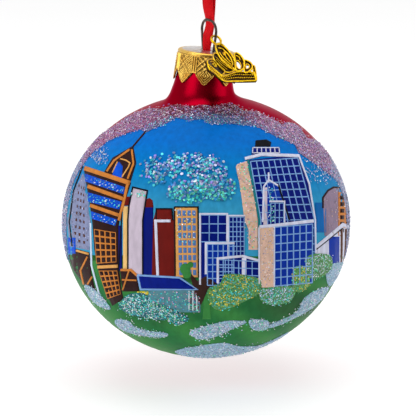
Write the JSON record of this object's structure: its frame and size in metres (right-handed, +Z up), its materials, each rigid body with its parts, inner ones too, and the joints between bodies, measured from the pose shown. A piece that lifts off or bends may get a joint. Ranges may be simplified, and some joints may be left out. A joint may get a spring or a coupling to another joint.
{
  "type": "christmas ball ornament",
  "caption": "Hanging glass ball ornament with a painted city picture under a glitter border, a scalloped gold cap, a wire loop, a tiara charm and a ribbon loop.",
  "frame": {"origin": "inside the top of the ribbon loop, where a hook or a branch holds it", "axes": "+Z up, -Y towards the painted front, +X to the right of the picture"},
  "size_m": [0.0824, 0.0825, 0.144],
  "materials": {
    "ribbon_satin": "satin, woven polyester",
    "cap_gold": "stamped, bright antique gold with a pale top",
    "wire_bronze": "dark bronze-plated spring wire",
    "charm_gold": "cast, antique gold with dark recesses",
    "clear_glass": "blown, smooth",
    "red_lacquer": "satin pearl lacquer",
    "sky_paint": "brushed acrylic, blue above and teal below",
    "building_paint": "brushed acrylic in browns, navy and cream",
    "ground_paint": "brushed acrylic green",
    "border_glitter": "fine pink and lavender glitter",
    "cloud_glitter": "chunky iridescent glitter",
    "bush_glitter": "green, yellow and turquoise glitter",
    "snow_paint": "thick white paint with clear glitter"
  },
  "bodies": {
    "ribbon_top": {"ribbon_bight": "ribbon_satin"},
    "ribbon": {"ribbon_strands": "ribbon_satin"},
    "cap": {"cap": "cap_gold", "ribbon_tails": "ribbon_satin", "stopper_knot": "ribbon_satin"},
    "hanger": {"wire_hanger": "wire_bronze"},
    "charm": {"charm": "charm_gold"},
    "ball": {"glass_ball": "clear_glass", "red_coat": "red_lacquer", "painted_sky": "sky_paint", "painted_buildings": "building_paint", "painted_ground": "ground_paint", "glitter_border": "border_glitter", "glitter_clouds": "cloud_glitter", "glitter_bushes": "bush_glitter", "snow_drifts": "snow_paint"}
  },
  "joints": [
    {"name": "ornament_swing", "type": "hinge", "parent": "ribbon_top", "child": "ribbon", "pos_m": [0, 0, 0], "axis": [1, 0, 0], "range_deg": [-30, 30]},
    {"name": "ornament_spin", "type": "hinge", "parent": "ribbon", "child": "cap", "pos_m": [0, 0, -0.0398], "axis": [0, 0, 1], "range_deg": [-180, 180]},
    {"name": "hanger_lift", "type": "slide", "parent": "cap", "child": "hanger", "axis": [0.0377, -0.0569, 0.9977], "range_m": [0, 0.003]},
    {"name": "charm_swing", "type": "hinge", "parent": "hanger", "child": "charm", "pos_m": [0.00268, -0.00314, -0.04814], "axis": [-0.9659, -0.2588, 0], "range_deg": [0, 60]},
    {"name": "ball_release", "type": "slide", "parent": "cap", "child": "ball", "axis": [-0.0872, 0, -0.9962], "range_m": [0, 0.02]}
  ]
}
